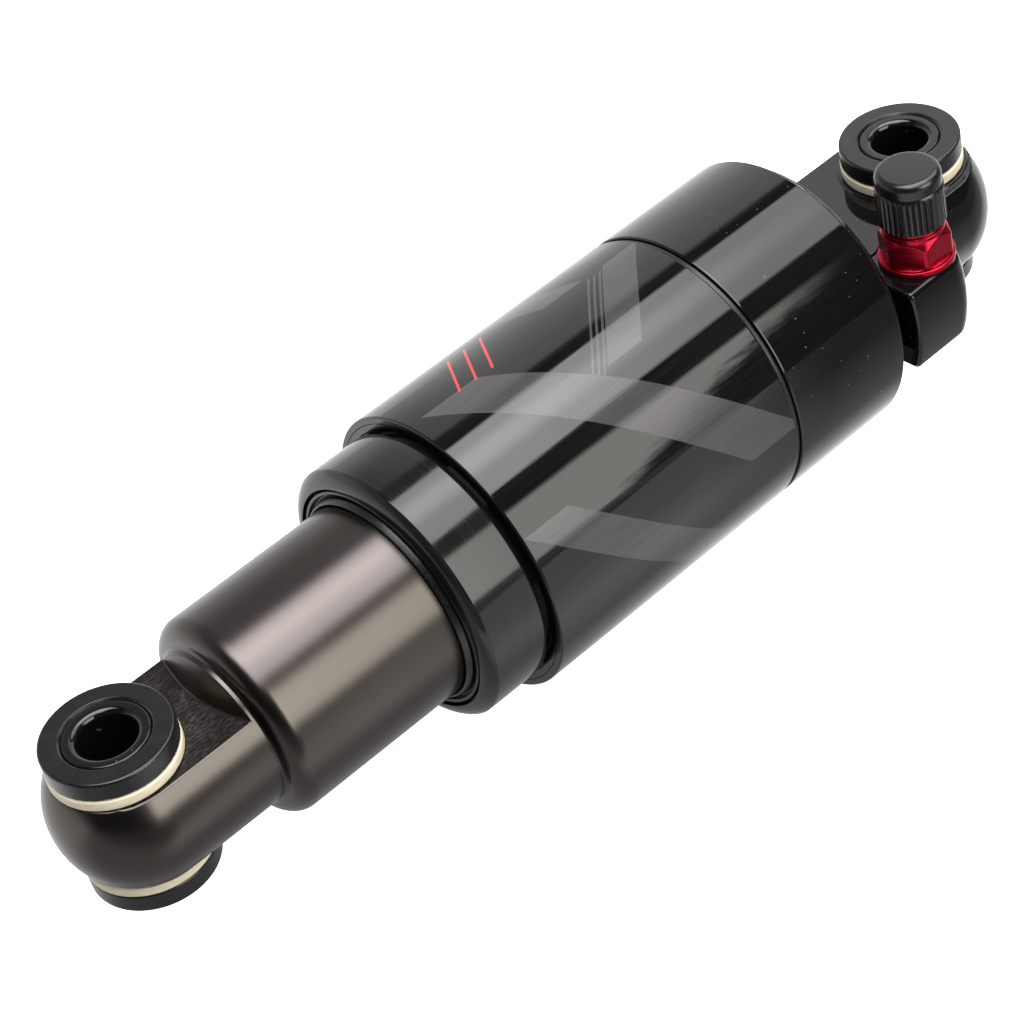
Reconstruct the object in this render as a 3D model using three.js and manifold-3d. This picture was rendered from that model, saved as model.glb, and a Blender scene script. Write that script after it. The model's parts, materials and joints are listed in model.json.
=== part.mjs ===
// Air-sprung rear shock for a bicycle, built as the separate pieces that it comes apart into.
//
// Frame, in millimetres: the origin is the centre of the body eyelet (the air can's end), +X runs
// along the shock to the shaft eyelet, +Z is the axis of both eyelet bores, and +Y points to the
// side that carries the air valve. The shock is drawn fully extended.

import * as THREE from 'three';
import { mergeVertices } from 'three/addons/utils/BufferGeometryUtils.js';
import Module from 'manifold-3d';

const wasm = await Module();
wasm.setup();

// ---------------------------------------------------------------- driving dimensions

const EYE_TO_EYE = 150;
const RUN_GAP = 0.1;            // radial clearance of a running fit
const SEAT_GAP = 0.05;          // gap between faces that rest on each other

const HARDWARE_WIDTH = 24;      // outer face to outer face of the spacers, at each eyelet
const SPACER_R = 9;
const SPACER_T = 2.9;
const WASHER_R = 9.1;
const BOLT_HOLE_R = 4;
const AXLE_R = 5.9;
const SPACER_BORE_R = 6;
const WASHER_BORE_R = 6.1;
const BUSHING_R = 7.4;          // bore of both eyelets
const EYE_HALF_WIDTH = 7.25;

const BODY_NECK_R = 12.7;
const BODY_FLAT_Z = 6.9;        // milled flats of the body eyelet, below its raised seats
const BODY_SEAT_R = 9.6;
const BODY_WALL_X = 20;         // where the body eyelet's flats end
const SHAFT_NECK_R = 12;
const NOSE_LENGTH = 11.2;       // from an eyelet's centre to the end of its rounded nose

const CAN_R = 22;
const CAN_BORE_R = 20;
const CAN_REAR_X = 25;
const SEAM_X = 48.2;            // ring between the can's bare rear and the outer sleeve
const CAN_FRONT_X = 94.3;
const SLEEVE_BORE_R = 21;

const COLLAR_R = 20;
const COLLAR_REAR_X = 95.3;
const COLLAR_FRONT_X = 105.6;

const TUBE_R = 15.3;            // sliding shaft, outside
const TUBE_BORE_R = 13;
const TUBE_REAR_X = 86;
const SHOULDER_X = 131.4;
const SHOULDER_ROUND = 2.8;
const SHAFT_NECK_X = 134.4;
const SHAFT_WALL_X = 135.1;     // where the shaft eyelet's flats end
const ROD_R = 5;

const BLOCK_X = [10.4, 22.8];   // valve block on the body's side
const BLOCK_Z = [-7, 6.5];
const BLOCK_R = 22.4;
const VALVE_AT = [15.2, 16];    // x and y of the air valve's axis
const CAP_R = 4.9;
const CAP_BASE_Z = 13.2;
const CAP_TOP_Z = 21.8;

const FINE = 28;                // facets round the large turned pieces
const MEDIUM = 20;
const SMALL = 12;               // facets round the valve's pieces

// ---------------------------------------------------------------- finishes

const finish = (color, roughness, metalness) => ({ color, roughness, metalness });
const GLOSS_BLACK = finish(0x0d0d0f, 0.22, 0.6);
const SATIN_BLACK = finish(0x17171a, 0.42, 0.7);
const GUNMETAL = finish(0x6b625c, 0.36, 0.85);
const RED_ANODISED = finish(0xb01226, 0.28, 0.8);
const BARE_ALUMINIUM = finish(0xb9bcc0, 0.35, 0.9);
const STEEL = finish(0x9a9da1, 0.3, 1);
const BRASS = finish(0xb58b3d, 0.32, 0.95);
const CREAM_PLASTIC = finish(0xd9d0b4, 0.55, 0);
const BLACK_PLASTIC = finish(0x141416, 0.5, 0);
const RUBBER = finish(0x101011, 0.8, 0);
const URETHANE = finish(0xa87a2c, 0.6, 0);
const BRONZE = finish(0x8a6a45, 0.5, 0.7);

// ---------------------------------------------------------------- solids

const AXIS_TO_X = new THREE.Matrix4().makeRotationZ(-Math.PI / 2);
const AXIS_TO_Z = new THREE.Matrix4().makeRotationX(Math.PI / 2);

function signedVolume(geometry) {
  const p = geometry.attributes.position;
  const corner = (i) => new THREE.Vector3().fromBufferAttribute(p, geometry.index.getX(i));
  let sum = 0;
  for (let i = 0; i < geometry.index.count; i += 3) {
    sum += corner(i).dot(corner(i + 1).cross(corner(i + 2)));
  }
  return sum / 6;
}

// a closed three.js geometry as a solid that can be joined and cut
function solid(source) {
  const open = source.clone();
  open.deleteAttribute('normal');
  open.deleteAttribute('uv');
  const merged = mergeVertices(open, 1e-4);
  const inwards = signedVolume(merged) < 0;
  const triVerts = [];
  for (let i = 0; i < merged.index.count; i += 3) {
    const [a, b, c] = [0, 1, 2].map((k) => merged.index.getX(i + k));
    if (a === b || b === c || c === a) continue;
    triVerts.push(a, inwards ? c : b, inwards ? b : c);
  }
  const vertProperties = new Float32Array(merged.attributes.position.array);
  const mesh = new wasm.Mesh({ numProp: 3, vertProperties, triVerts: new Uint32Array(triVerts) });
  return new wasm.Manifold(mesh);
}

function geometryOf(manifold) {
  const { vertProperties, triVerts, numProp } = manifold.getMesh();
  const geometry = new THREE.BufferGeometry();
  const positions = [];
  for (let i = 0; i < vertProperties.length; i += numProp) {
    positions.push(vertProperties[i], vertProperties[i + 1], vertProperties[i + 2]);
  }
  geometry.setAttribute('position', new THREE.Float32BufferAttribute(positions, 3));
  geometry.setIndex([...triVerts]);
  return geometry;
}

// outline: [distance along the axis, radius] pairs; an outline off the axis closes on itself
function lathe(outline, segments, toAxis) {
  const points = outline.map(([along, radius]) => new THREE.Vector2(radius, along));
  const onAxis = outline[0][1] === 0 && outline[outline.length - 1][1] === 0;
  if (!onAxis) points.push(points[0].clone());
  return solid(new THREE.LatheGeometry(points, segments).applyMatrix4(toAxis));
}

const aboutX = (outline, segments = FINE) => lathe(outline, segments, AXIS_TO_X);

// about Z the lathe's axis direction turns to +Z, and the piece moves to its own centre line
function aboutZ(outline, [x, y] = [0, 0], segments = SMALL) {
  return lathe(outline, segments, AXIS_TO_Z).translate([x, y, 0]);
}

// ring outline from x0 to x1 with its edges broken by a small chamfer
function ring(x0, x1, inner, outer, chamfer = 0) {
  const c = chamfer;
  if (!c) return [[x0, inner], [x1, inner], [x1, outer], [x0, outer]];
  return [[x0, inner], [x1, inner], [x1, outer - c], [x1 - c, outer], [x0 + c, outer], [x0, outer - c]];
}

const rod = (x0, x1, radius) => [[x0, 0], [x0, radius], [x1, radius], [x1, 0]];

// arc of an ellipse from one angle to the other, in degrees, as outline points
function arc(centre, radii, from, to, steps) {
  return Array.from({ length: steps + 1 }, (_, i) => {
    const angle = THREE.MathUtils.degToRad(from + ((to - from) * i) / steps);
    return [centre[0] + radii[0] * Math.cos(angle), centre[1] + radii[1] * Math.sin(angle)];
  });
}

// prism of a regular polygon about Z; size is measured across its flats
function polygonPrism(sides, acrossFlats, [z0, z1], [x, y]) {
  const radius = acrossFlats / 2 / Math.cos(Math.PI / sides);
  const geometry = new THREE.CylinderGeometry(radius, radius, z1 - z0, sides);
  geometry.rotateX(Math.PI / 2);
  return solid(geometry.translate(x, y, (z0 + z1) / 2));
}

// ---------------------------------------------------------------- the model's nodes

const shock = new THREE.Group();

function add(name, manifold, look) {
  const mesh = new THREE.Mesh(geometryOf(manifold), new THREE.MeshStandardMaterial(look));
  mesh.name = name;
  shock.add(mesh);
}

// cone whose face leans towards an eyelet; its rim crosses the neck at rimX
function shoulderCone(rimX, rimR, backX) {
  const lean = 0.36 * Math.sign(rimX - backX);
  const reach = rimR + 12;
  return aboutX([
    [backX, 0], [backX, reach], [rimX + lean * (rimR - reach), reach], [rimX + lean * rimR, 0],
  ]);
}

// mills both sides of an eyelet down to flatZ, from its nose to the shoulder's conical face
function millFlats(piece, flatZ, centreX, shoulder) {
  const [length, width, depth] = [60, 60, 20];
  const slab = new THREE.BoxGeometry(length, width, depth).translate(centreX, 0, flatZ + depth / 2);
  const cutter = solid(slab).subtract(shoulder);
  return piece.subtract(cutter).subtract(cutter.rotate([180, 0, 0]));
}

// ---------------------------------------------------------------- body end and air can

const ROD_SOCKET_X = 36;
const STUB_END_X = 46;
const FLANGE_X = 24.2;

function bodyEndTurning() {
  return aboutX([
    ...arc([0, 0], [NOSE_LENGTH, BODY_NECK_R], 180, 90, 9).map(([x, r], i) => [x, i ? r : 0]),
    [20.4, BODY_NECK_R], [22.6, 13.7], [23.8, 15.9], [FLANGE_X, 18.4],
    [FLANGE_X, 20.4], [CAN_REAR_X - RUN_GAP, 20.7],
    [CAN_REAR_X - RUN_GAP, 19.8], [27, 19.8], [27, 18.2], [29, 18.2], [29, 19.8], [31, 19.8],
    [31, 9], [STUB_END_X, 9], [STUB_END_X, ROD_R + RUN_GAP], [ROD_SOCKET_X, ROD_R + RUN_GAP],
    [ROD_SOCKET_X, 0],
  ]);
}

function valveBlock() {
  const corner = 3.2;
  const [x0, x1] = BLOCK_X;
  const plan = new THREE.Shape();
  plan.moveTo(x1, 0);
  plan.lineTo(x1, CAN_R + 2);
  plan.lineTo(x0 + corner + 2, CAN_R + 2);
  plan.quadraticCurveTo(x0 + 0.8, CAN_R - 1.2, x0, CAN_R - 6);
  plan.lineTo(x0 - 0.4, 0);
  const height = BLOCK_Z[1] - BLOCK_Z[0];
  const prism = new THREE.ExtrudeGeometry(plan, { depth: height, bevelEnabled: false, curveSegments: 6 });
  const round = aboutX(rod(0, 40, BLOCK_R), 64);
  return solid(prism.translate(0, 0, BLOCK_Z[0])).intersect(round);
}

function bodyEnd() {
  const seats = aboutZ(rod(-EYE_HALF_WIDTH, EYE_HALF_WIDTH, BODY_SEAT_R), [0, 0], FINE);
  const shoulder = shoulderCone(BODY_WALL_X, BODY_NECK_R, CAN_REAR_X + 20);
  const eyelet = millFlats(bodyEndTurning(), BODY_FLAT_Z, 0, shoulder);
  const bore = aboutZ(rod(-20, 20, BUSHING_R), [0, 0], FINE);
  const [x, y] = VALVE_AT;
  const pocket = [[-4, 0], [-4, 2.6], [-1.2, 2.6], [-1.2, 4.3], [12, 4.3], [12, 0]];
  const spotFace = aboutZ(rod(BLOCK_Z[1], CAN_R, 6), [x, y], MEDIUM);
  const airWay = aboutX(rod(x, 33, 1.2), 12).translate([0, y, 0]);
  return eyelet.add(seats).subtract(bore).add(valveBlock())
    .subtract(aboutZ(pocket, [x, y], MEDIUM)).subtract(spotFace).subtract(airWay);
}

function airCan() {
  const end = CAN_FRONT_X - SEAT_GAP;
  return aboutX([
    [CAN_REAR_X, CAN_BORE_R], [end, CAN_BORE_R], [end, SLEEVE_BORE_R - RUN_GAP],
    [SEAM_X - 0.9, SLEEVE_BORE_R - RUN_GAP], [SEAM_X - 0.9, CAN_R - 0.25], [SEAM_X - 1.15, CAN_R],
    [CAN_REAR_X + 0.9, CAN_R], [CAN_REAR_X, CAN_R - 1.1],
  ]);
}

function outerSleeve() {
  return aboutX(ring(SEAM_X, CAN_FRONT_X, SLEEVE_BORE_R, CAN_R, 0.3));
}

function addCan() {
  add('body_end', bodyEnd(), GLOSS_BLACK);
  add('air_can', airCan(), GLOSS_BLACK);
  add('outer_sleeve', outerSleeve(), GLOSS_BLACK);
  add('sleeve_seam_ring', aboutX(ring(SEAM_X - 0.85, SEAM_X - 0.05, SLEEVE_BORE_R, 21.7)), RUBBER);
  add('body_end_o_ring', aboutX(ring(27.2, 28.8, 18.3, 19.75)), RUBBER);
  add('volume_spacer', aboutX(ring(31.4, 44, 15, 19.8)), BLACK_PLASTIC);
  add('bottom_out_bumper', aboutX(ring(46.3, 52, 5.4, 10, 1.2), MEDIUM), URETHANE);
}

// ---------------------------------------------------------------- seal head at the can's front

function sealHead() {
  const bore = TUBE_R + 0.3;
  const inside = CAN_BORE_R - 0.2;
  return aboutX([
    [90.1, bore], [91, bore], [91, 16.8], [94.2, 16.8], [94.2, bore],
    [96.6, bore], [96.6, 17.6], [99.4, 17.6], [99.4, bore],
    [101.6, bore], [101.6, 17.6], [COLLAR_FRONT_X - 0.3, 17.6], [COLLAR_FRONT_X - 0.3, 18.2],
    ...arc([COLLAR_FRONT_X - 2.8, COLLAR_R - 2], [2.3, 2], 20, 90, 4),
    [COLLAR_REAR_X + 0.3, COLLAR_R], [COLLAR_REAR_X, COLLAR_R - 0.3],
    [COLLAR_REAR_X, 18.6], [CAN_FRONT_X - 0.4, 18.6],
    [CAN_FRONT_X - 0.4, inside], [92.6, inside], [92.6, 18.4], [91.2, 18.4], [91.2, inside],
    [90.1, inside],
  ]);
}

function wiper() {
  const lip = TUBE_R + 0.15;
  return aboutX([
    [101.8, TUBE_R + 0.5], [104.4, TUBE_R + 0.5], [105.7, lip], [106, TUBE_R + 0.35],
    [105.1, 16.4], [105.3, 17.3], [101.8, 17.4],
  ]);
}

function addSealHead() {
  add('seal_head', sealHead(), SATIN_BLACK);
  add('dust_wiper', wiper(), RUBBER);
  add('shaft_quad_ring', aboutX(ring(96.8, 99.2, TUBE_R + RUN_GAP, 17.5)), RUBBER);
  add('shaft_guide_bush', aboutX(ring(91.2, 94, TUBE_R + RUN_GAP, 16.7)), BRONZE);
  add('seal_head_o_ring', aboutX(ring(91.35, 92.45, 18.5, 19.75)), RUBBER);
  add('top_out_bumper', aboutX(ring(86.7, 89.9, TUBE_R + 0.2, 18.6)), URETHANE);
}

// ---------------------------------------------------------------- damper rod and main piston

const PISTON_X = [90.6, 95];

function addDamperRod() {
  const [x0, x1] = PISTON_X;
  const spigot = 3;
  const held = [[ROD_SOCKET_X + 0.1, 0], [ROD_SOCKET_X + 0.1, ROD_R], [x0 - 0.8, ROD_R]];
  add('damper_rod', aboutX([...held, [x0 - 0.8, spigot], [x1 + 2.8, spigot], [x1 + 2.8, 0]], MEDIUM), STEEL);
  add('compression_shims', aboutX(ring(x0 - 0.75, x0 - 0.05, spigot + RUN_GAP, 8.6), MEDIUM), STEEL);
  const groove = TUBE_BORE_R - 1.2;
  add('damper_piston', pistonWithPorts([
    [x0, spigot + RUN_GAP], [x1, spigot + RUN_GAP], [x1, 12.4], [x1 - 1, 12.4], [x1 - 1, groove],
    [x0 + 1, groove], [x0 + 1, 12.4], [x0, 12.4],
  ]), BARE_ALUMINIUM);
  add('piston_band', aboutX(ring(x0 + 1.1, x1 - 1.1, groove + RUN_GAP, TUBE_BORE_R - RUN_GAP)), BRONZE);
  add('rebound_shims', aboutX(ring(x1 + 0.05, x1 + 0.75, spigot + RUN_GAP, 7.4), MEDIUM), STEEL);
  const nut = aboutX(rod(x1 + 0.8, x1 + 3, 5.4), 6);
  add('piston_nut', nut.subtract(aboutX(rod(x1, x1 + 4, spigot + 0.2), MEDIUM)), STEEL);
}

function pistonWithPorts(outline) {
  const ports = 6;
  const port = aboutX(rod(PISTON_X[0] - 2, PISTON_X[1] + 2, 1.3), 8).translate([0, 9.6, 0]);
  return Array.from({ length: ports }, (_, i) => port.rotate([(360 / ports) * i, 0, 0]))
    .reduce((rest, cut) => rest.subtract(cut), aboutX(outline));
}

// ---------------------------------------------------------------- sliding shaft and air piston

const TUBE_END_X = 129.4;
const PLUG_X = 139;

function shaft() {
  const eye = EYE_TO_EYE;
  const turned = aboutX([
    [TUBE_END_X, 0], [TUBE_END_X, TUBE_BORE_R], [TUBE_REAR_X, TUBE_BORE_R], [TUBE_REAR_X, TUBE_R],
    ...arc([SHOULDER_X, TUBE_R - SHOULDER_ROUND], [SHOULDER_ROUND, SHOULDER_ROUND], 90, 0, 5),
    [SHAFT_NECK_X, SHAFT_NECK_R],
    ...arc([eye, 0], [NOSE_LENGTH, SHAFT_NECK_R], 90, 10, 8), [eye + NOSE_LENGTH, 0],
  ]);
  const shoulder = shoulderCone(SHAFT_WALL_X, SHAFT_NECK_R, TUBE_REAR_X);
  const eyelet = millFlats(turned, EYE_HALF_WIDTH, eye, shoulder);
  const plugHole = solid(new THREE.CylinderGeometry(1.6, 1.6, 8, 12).translate(PLUG_X, -10.2, 0));
  const oilWay = aboutX(rod(TUBE_END_X - 1, PLUG_X, 0.8), 8).translate([0, -7.4, 0]);
  const bore = aboutZ(rod(-20, 20, BUSHING_R), [eye, 0], FINE);
  return eyelet.subtract(bore).subtract(plugHole).subtract(oilWay);
}

function airPiston() {
  const outer = CAN_BORE_R - 0.35;
  const x1 = TUBE_REAR_X - SEAT_GAP;
  const boss = TUBE_BORE_R - RUN_GAP;
  return aboutX([
    [77.5, 6.4], [83, 6.4], [83, 5.4], [84, 5.4], [84, 7.6], [89.2, 7.6], [89.2, boss], [x1, boss],
    [x1, outer], [85.4, outer], [85.4, 18.5], [83.4, 18.5], [83.4, outer],
    [82.2, outer], [82.2, 17.2], [79.2, 17.2], [79.2, outer], [77.9, outer], [77.5, outer - 0.4],
  ]);
}

function addShaft() {
  add('shaft', shaft(), GUNMETAL);
  add('air_piston', airPiston(), BARE_ALUMINIUM);
  add('air_piston_quad_ring', aboutX(ring(79.35, 82.05, 17.3, 19.85)), RUBBER);
  add('air_piston_glide_band', aboutX(ring(83.5, 85.3, 18.6, 19.85)), BRONZE);
  add('rod_bushing', aboutX(ring(77.7, 82.9, ROD_R + RUN_GAP, 6.3), MEDIUM), BRONZE);
  add('rod_seal', aboutX(ring(84.1, 86.8, ROD_R + RUN_GAP, 7.5), MEDIUM), RUBBER);
  add('rod_seal_retainer', aboutX(ring(87, 88.4, ROD_R + 0.4, 7.5), MEDIUM), STEEL);
  add('charge_plug', chargePlug(), STEEL);
  add('floating_piston', floatingPiston(), BARE_ALUMINIUM);
  add('floating_piston_o_ring', aboutX(ring(122.1, 123.7, 11.7, TUBE_BORE_R - RUN_GAP)), RUBBER);
}

function chargePlug() {
  const screw = solid(new THREE.CylinderGeometry(1.5, 1.5, 3, 12).translate(PLUG_X, -9.9, 0));
  const socket = solid(new THREE.CylinderGeometry(0.8, 0.8, 2, 6).translate(PLUG_X, -11, 0));
  return screw.subtract(socket);
}

function floatingPiston() {
  const outer = TUBE_BORE_R - 0.2;
  return aboutX([
    [120.7, 0], [120.7, outer], [122, outer], [122, 11.6], [123.8, 11.6], [123.8, outer],
    [125.1, outer], [125.1, 10.4], [122.4, 10.4], [122.4, 0],
  ]);
}

// ---------------------------------------------------------------- mounting hardware at an eyelet

function axleTube() {
  const half = HARDWARE_WIDTH / 2 - 0.15;
  const lead = 0.95;
  return aboutZ([
    [-half, BOLT_HOLE_R + lead], [-half + lead, BOLT_HOLE_R], [half - lead, BOLT_HOLE_R],
    [half, BOLT_HOLE_R + lead], [half, AXLE_R], [-half, AXLE_R],
  ], [0, 0], MEDIUM);
}

function addHardware(end, centreX) {
  const at = [centreX, 0, 0];
  const top = HARDWARE_WIDTH / 2;
  const spacer = aboutZ([
    [top - SPACER_T, SPACER_BORE_R], [top - 0.25, SPACER_BORE_R], [top, SPACER_BORE_R + 0.25],
    [top, SPACER_R - 0.45], [top - 0.45, SPACER_R], [top - SPACER_T, SPACER_R],
  ], [0, 0], MEDIUM);
  const low = EYE_HALF_WIDTH + SEAT_GAP;
  const washer = aboutZ(ring(low, top - SPACER_T - SEAT_GAP, WASHER_BORE_R, WASHER_R), [0, 0], MEDIUM);
  const bushing = aboutZ(ring(-7.1, 7.1, AXLE_R + RUN_GAP, BUSHING_R - RUN_GAP), [0, 0], MEDIUM);
  const below = [180, 0, 0];
  add(`${end}_bushing`, bushing.translate(at), BRONZE);
  add(`${end}_axle_tube`, axleTube().translate(at), GLOSS_BLACK);
  add(`${end}_washer_upper`, washer.translate(at), CREAM_PLASTIC);
  add(`${end}_washer_lower`, washer.rotate(below).translate(at), CREAM_PLASTIC);
  add(`${end}_spacer_upper`, spacer.translate(at), SATIN_BLACK);
  add(`${end}_spacer_lower`, spacer.rotate(below).translate(at), SATIN_BLACK);
}

// ---------------------------------------------------------------- air valve

const BLOCK_TOP = BLOCK_Z[1];

function valveBase() {
  const [x, y] = VALVE_AT;
  const z = BLOCK_TOP + SEAT_GAP;
  const body = aboutZ([
    [-1, 2.3], [z, 2.3], [z + 13, 2.3], [z + 13, 3.3], [z + 6.6, 3.3],
    [z + 6.6, 4.1], [z + 5.9, 4.5], [z + 1.2, 4.5], [z + 1.2, 5.2], [z + 0.9, 5.6], [z, 5.6], [z, 4.2],
    [3.6, 4.2], [3.6, 3.4], [1.8, 3.4], [1.8, 4.2], [-1, 4.2],
  ], VALVE_AT, MEDIUM);
  const hexagon = polygonPrism(6, 9.4, [z + 1.1, z + 5.2], [x, y]);
  const hollow = aboutZ(rod(z, z + 6, 3), VALVE_AT);
  return body.add(hexagon.subtract(hollow));
}

function valveCap() {
  const skirt = CAP_TOP_Z - 2.4;
  return aboutZ([
    [CAP_BASE_Z, 3.7], [CAP_TOP_Z - 1.6, 3.7], [CAP_TOP_Z - 1.6, 0], [CAP_TOP_Z, 0],
    ...arc([CAP_TOP_Z - 1.1, CAP_R - 1.3], [1.1, 1.1], 0, 90, 3).map(([z, r]) => [z, r]),
    [skirt, CAP_R - 0.2], [skirt - 0.3, CAP_R], [CAP_BASE_Z + 0.3, CAP_R], [CAP_BASE_Z, CAP_R - 0.3],
  ], VALVE_AT, MEDIUM);
}

// wire spring round the valve pin: one closed coil of thin wire
function valveSpring() {
  const [x, y] = VALVE_AT;
  const [turns, low, high, radius, wire] = [4, 9.4, 14.6, 1.05, 0.16];
  const path = new THREE.Curve();
  path.getPoint = (t) => {
    const angle = 2 * Math.PI * turns * t;
    return new THREE.Vector3(x + radius * Math.cos(angle), y + radius * Math.sin(angle),
      low + (high - low) * t);
  };
  const section = new THREE.Shape();
  for (let i = 0; i < 4; i++) {
    const angle = (Math.PI / 2) * i;
    const place = [wire * Math.cos(angle), wire * Math.sin(angle)];
    if (i) section.lineTo(...place); else section.moveTo(...place);
  }
  return solid(new THREE.ExtrudeGeometry(section, { extrudePath: path, steps: turns * 9 }));
}

function addValve() {
  add('valve_base', valveBase(), RED_ANODISED);
  add('valve_o_ring', aboutZ(ring(1.95, 3.45, 3.6, 4.15), VALVE_AT), RUBBER);
  add('valve_core', aboutZ([
    [8, 0.6], [9, 0.6], [9, 1.4], [18, 1.4], [18, 2.2], [15.5, 2.2], [15.5, 1.8], [8, 1.8],
  ], VALVE_AT), BRASS);
  add('valve_pin', aboutZ([
    [6, 0], [6, 1.5], [7.8, 1.5], [7.8, 0.5], [15, 0.5], [15, 1.2], [15.4, 1.2], [15.4, 0.5],
    [18.4, 0.5], [18.4, 0],
  ], VALVE_AT), BRASS);
  add('valve_spring', valveSpring(), STEEL);
  add('valve_cap_seal', aboutZ(ring(19.65, 20.15, 1.2, 3.6), VALVE_AT), RUBBER);
  add('valve_cap', valveCap(), BLACK_PLASTIC);
}

addCan();
addSealHead();
addDamperRod();
addShaft();
addHardware('body', 0);
addHardware('shaft', EYE_TO_EYE);
addValve();

export default shock;
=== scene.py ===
"""Looks of an air-sprung bicycle rear shock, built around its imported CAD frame."""
import json
import math

import bmesh
import bpy
from mathutils import Matrix, Vector


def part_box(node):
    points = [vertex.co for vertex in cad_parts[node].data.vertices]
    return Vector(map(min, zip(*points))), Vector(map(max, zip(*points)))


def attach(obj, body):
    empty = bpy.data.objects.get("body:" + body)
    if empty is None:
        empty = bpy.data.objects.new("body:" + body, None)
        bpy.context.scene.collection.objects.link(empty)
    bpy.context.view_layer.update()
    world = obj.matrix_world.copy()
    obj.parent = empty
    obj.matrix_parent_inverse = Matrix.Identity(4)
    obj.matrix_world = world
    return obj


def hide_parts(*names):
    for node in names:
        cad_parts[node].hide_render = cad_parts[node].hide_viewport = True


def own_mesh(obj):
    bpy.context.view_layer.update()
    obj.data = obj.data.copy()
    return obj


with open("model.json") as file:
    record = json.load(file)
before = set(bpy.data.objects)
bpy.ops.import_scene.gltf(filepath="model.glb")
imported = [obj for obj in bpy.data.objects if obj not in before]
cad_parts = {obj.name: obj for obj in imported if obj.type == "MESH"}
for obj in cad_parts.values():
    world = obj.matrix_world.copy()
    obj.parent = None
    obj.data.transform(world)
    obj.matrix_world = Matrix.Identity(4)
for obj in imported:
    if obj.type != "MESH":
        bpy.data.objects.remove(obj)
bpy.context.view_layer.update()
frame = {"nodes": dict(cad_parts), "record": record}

MM = 0.001
X, Y, Z = 0, 1, 2
FINE = 192          # facets round the large turned pieces
MEDIUM = 96
SQUARE = ((-1, -1), (1, -1), (1, 1), (-1, 1))


# ------------------------------------------------------------ sizes from the frame, in mm

def low(node, axis):
    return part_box(node)[0][axis] / MM


def high(node, axis):
    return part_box(node)[1][axis] / MM


def middle(node, axis):
    return (low(node, axis) + high(node, axis)) / 2


BODY_EYE_X = middle("body_axle_tube", X)
SHAFT_EYE_X = middle("shaft_axle_tube", X)
HALF_WIDTH = high("body_spacer_upper", Z)
SPACER_R = high("body_spacer_upper", Y)
SPACER_LOW = low("body_spacer_upper", Z)
WASHER_R = high("body_washer_upper", Y)
WASHER_LOW = low("body_washer_upper", Z)
WASHER_HIGH = high("body_washer_upper", Z)
AXLE_R = high("body_axle_tube", Y)
AXLE_HALF = high("body_axle_tube", Z)
BOLT_R = 4.0
SPACER_BORE_R = 6.0
EYE_BORE_R = 7.4
EYE_HALF = 7.25
EYE_CUT = 20.0      # half length of the tools that cut through an eyelet

CAN_R = high("outer_sleeve", Z)
CAN_BORE_R = high("volume_spacer", Z) + 0.2
CAN_WALL_X = 31.0   # inner face of the end cap
CAN_REAR = low("air_can", X)
CAN_FRONT = high("outer_sleeve", X)
SLEEVE_REAR = low("outer_sleeve", X)
SEAM_REAR = low("sleeve_seam_ring", X)
SLEEVE_BORE_R = 21.0
SEAM_DEPTH = 0.35   # how far the seam ring lies below the can's outside

COLLAR_R = high("seal_head", Z)
COLLAR_REAR = CAN_FRONT + 0.75
COLLAR_FRONT = high("seal_head", X)
SEAL_HEAD_REAR = low("seal_head", X)
WIPER_POCKET_R = 17.6

TUBE_R = high("shaft", Z)
TUBE_REAR = low("shaft", X)
TUBE_BORE_R = high("floating_piston", Z) + 0.2
TUBE_BORE_END = 129.4
SHOULDER_X = 131.4
SHOULDER_ROUND = 2.8
SHAFT_NECK_X = 134.4
SHAFT_WALL_X = 135.1
SHAFT_NECK_R = 12.0
CHARGE_HOLE_X = 139.0
CHARGE_HOLE_R = 1.6
NOSE = high("shaft", X) - SHAFT_EYE_X

BODY_NECK_R = 12.7
BODY_FLAT = 6.9
BODY_SEAT_R = 9.6
BODY_WALL_X = 20.0
FLARE_X = 20.4
FLANGE_X = 24.2
FLANGE_R = 18.4
ROD_BOSS_X = 46.0
WALL_LEAN = 0.36    # of the cone that ends an eyelet's flats, in mm along X per mm of radius

VALVE_X = middle("valve_cap", X)
VALVE_Y = middle("valve_cap", Y)
BLOCK_X = (10.4, 22.8)
BLOCK_Z = (-7.0, 6.5)
BLOCK_R = 22.4
VALVE_RECESS_R = 6.0
VALVE_HOLE_R = 4.3
VALVE_HOLE_END = -1.2
CAP_R = high("valve_cap", X) - VALVE_X
CAP_BASE = low("valve_cap", Z)
CAP_TOP = high("valve_cap", Z)


# ------------------------------------------------------------ mesh tools

def to_object(name, bm):
    """Object in the scene that holds the bmesh's faces, all facing out."""
    bmesh.ops.recalc_face_normals(bm, faces=bm.faces)
    mesh = bpy.data.meshes.new(name)
    bm.to_mesh(mesh)
    bm.free()
    obj = bpy.data.objects.new(name, mesh)
    bpy.context.scene.collection.objects.link(obj)
    return obj


def rounded(outline, steps=5):
    """Outline points (along, radius, fillet) with an arc of that fillet at each corner that has one."""
    points = []
    count = len(outline)
    for i, corner in enumerate(outline):
        here = Vector(corner[:2])
        fillet = corner[2] if len(corner) > 2 else 0
        before = Vector(outline[i - 1][:2]) - here
        after = Vector(outline[(i + 1) % count][:2]) - here
        if not fillet or before.length < 1e-6 or after.length < 1e-6:
            points.append(tuple(here))
            continue
        half = before.angle(after) / 2
        reach = min(fillet / math.tan(half), 0.49 * before.length, 0.49 * after.length)
        start = here + before.normalized() * reach
        end = here + after.normalized() * reach
        centre = here + (before.normalized() + after.normalized()).normalized() * reach / math.cos(half)
        for k in range(steps + 1):
            chord = start.lerp(end, k / steps) - centre
            points.append(tuple(centre + chord.normalized() * (start - centre).length))
    return points


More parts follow.
